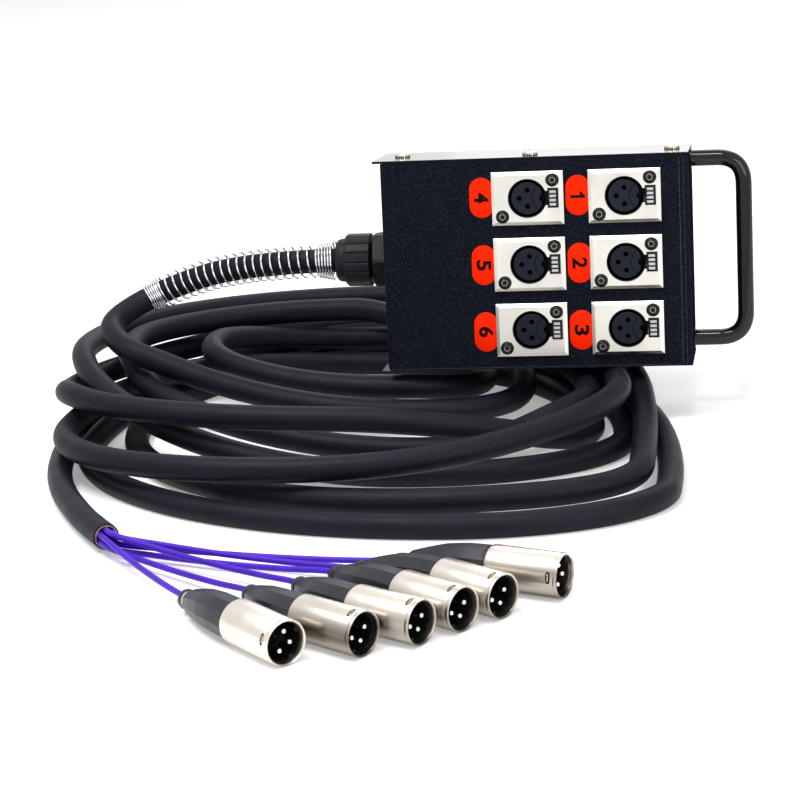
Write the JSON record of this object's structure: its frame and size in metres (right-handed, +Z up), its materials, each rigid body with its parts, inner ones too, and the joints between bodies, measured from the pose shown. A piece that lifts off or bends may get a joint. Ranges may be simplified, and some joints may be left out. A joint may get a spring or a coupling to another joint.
{
  "type": "stage box snake",
  "caption": "Small steel stage box with round three-pole panel sockets and a carry handle, leaning on its coiled multicore cable, which fans out into inline plugs",
  "frame": {"origin": "middle of the bounding box of the box with its handle, sockets and gland, without the loose cable, its spring and its plugs", "axes": "+X along the box's width towards the handle, +Y from the socket panel towards the back, level, +Z up; the box leans back 7 degrees about X"},
  "size_m": [0.346, 0.4459, 0.1346],
  "materials": {
    "powder_coat": "fine textured black powder coat",
    "satin_nickel": "satin nickel plate",
    "screw_nickel": "bright, slightly warm plate",
    "insert_plastic": "satin",
    "black_plastic": "satin nylon",
    "gloss_black": "glossy black",
    "bright_steel": "bright plate",
    "cable_jacket": "matt charcoal",
    "violet_jacket": "satin violet",
    "braid": "dull copper braid and foil",
    "boot_rubber": "matt"
  },
  "bodies": {
    "box": {"box_tray": "powder_coat", "lid_plate": "powder_coat", "lid_screw_left": "screw_nickel", "lid_screw_middle": "screw_nickel", "lid_screw_right": "screw_nickel", "handle": "gloss_black", "handle_screw_upper": "bright_steel", "handle_screw_lower": "bright_steel", "gland_body": "black_plastic", "gland_locknut": "black_plastic", "gland_nut": "black_plastic", "gland_seal": "boot_rubber", "wiring_loom": "cable_jacket", "socket_flange_1": "satin_nickel", "socket_flange_2": "satin_nickel", "socket_flange_3": "satin_nickel", "socket_flange_4": "satin_nickel", "socket_flange_5": "satin_nickel", "socket_flange_6": "satin_nickel", "socket_insert_1": "insert_plastic", "socket_insert_2": "insert_plastic", "socket_insert_3": "insert_plastic", "socket_insert_4": "insert_plastic", "socket_insert_5": "insert_plastic", "socket_insert_6": "insert_plastic", "cable_coil": "cable_jacket", "lead_cable": "cable_jacket", "tail_cable": "cable_jacket", "relief_spring": "bright_steel", "core_stub": "braid", "plug_shell_1": "satin_nickel", "plug_shell_2": "satin_nickel", "plug_shell_3": "satin_nickel", "plug_shell_4": "satin_nickel", "plug_shell_5": "satin_nickel", "plug_shell_6": "satin_nickel", "plug_pins_1": "insert_plastic", "plug_pins_2": "insert_plastic", "plug_pins_3": "insert_plastic", "plug_pins_4": "insert_plastic", "plug_pins_5": "insert_plastic", "plug_pins_6": "insert_plastic", "plug_boot_1": "boot_rubber", "plug_boot_2": "boot_rubber", "plug_boot_3": "boot_rubber", "plug_boot_4": "boot_rubber", "plug_boot_5": "boot_rubber", "plug_boot_6": "boot_rubber", "breakout_core_1": "violet_jacket", "breakout_core_2": "violet_jacket", "breakout_core_3": "violet_jacket", "breakout_core_4": "violet_jacket", "breakout_core_5": "violet_jacket", "breakout_core_6": "violet_jacket"},
    "push_1": {"push_tab_1": "black_plastic"},
    "push_2": {"push_tab_2": "black_plastic"},
    "push_3": {"push_tab_3": "black_plastic"},
    "push_4": {"push_tab_4": "black_plastic"},
    "push_5": {"push_tab_5": "black_plastic"},
    "push_6": {"push_tab_6": "black_plastic"}
  },
  "joints": [
    {"name": "push_tab_1_press", "type": "slide", "parent": "box", "child": "push_1", "axis": [0, 0.9925, -0.1219], "range_m": [0, 0.0015], "stiffness_N_per_m": 300},
    {"name": "push_tab_2_press", "type": "slide", "parent": "box", "child": "push_2", "axis": [0, 0.9925, -0.1219], "range_m": [0, 0.0015], "stiffness_N_per_m": 300},
    {"name": "push_tab_3_press", "type": "slide", "parent": "box", "child": "push_3", "axis": [0, 0.9925, -0.1219], "range_m": [0, 0.0015], "stiffness_N_per_m": 300},
    {"name": "push_tab_4_press", "type": "slide", "parent": "box", "child": "push_4", "axis": [0, 0.9925, -0.1219], "range_m": [0, 0.0015], "stiffness_N_per_m": 300},
    {"name": "push_tab_5_press", "type": "slide", "parent": "box", "child": "push_5", "axis": [0, 0.9925, -0.1219], "range_m": [0, 0.0015], "stiffness_N_per_m": 300},
    {"name": "push_tab_6_press", "type": "slide", "parent": "box", "child": "push_6", "axis": [0, 0.9925, -0.1219], "range_m": [0, 0.0015], "stiffness_N_per_m": 300}
  ]
}
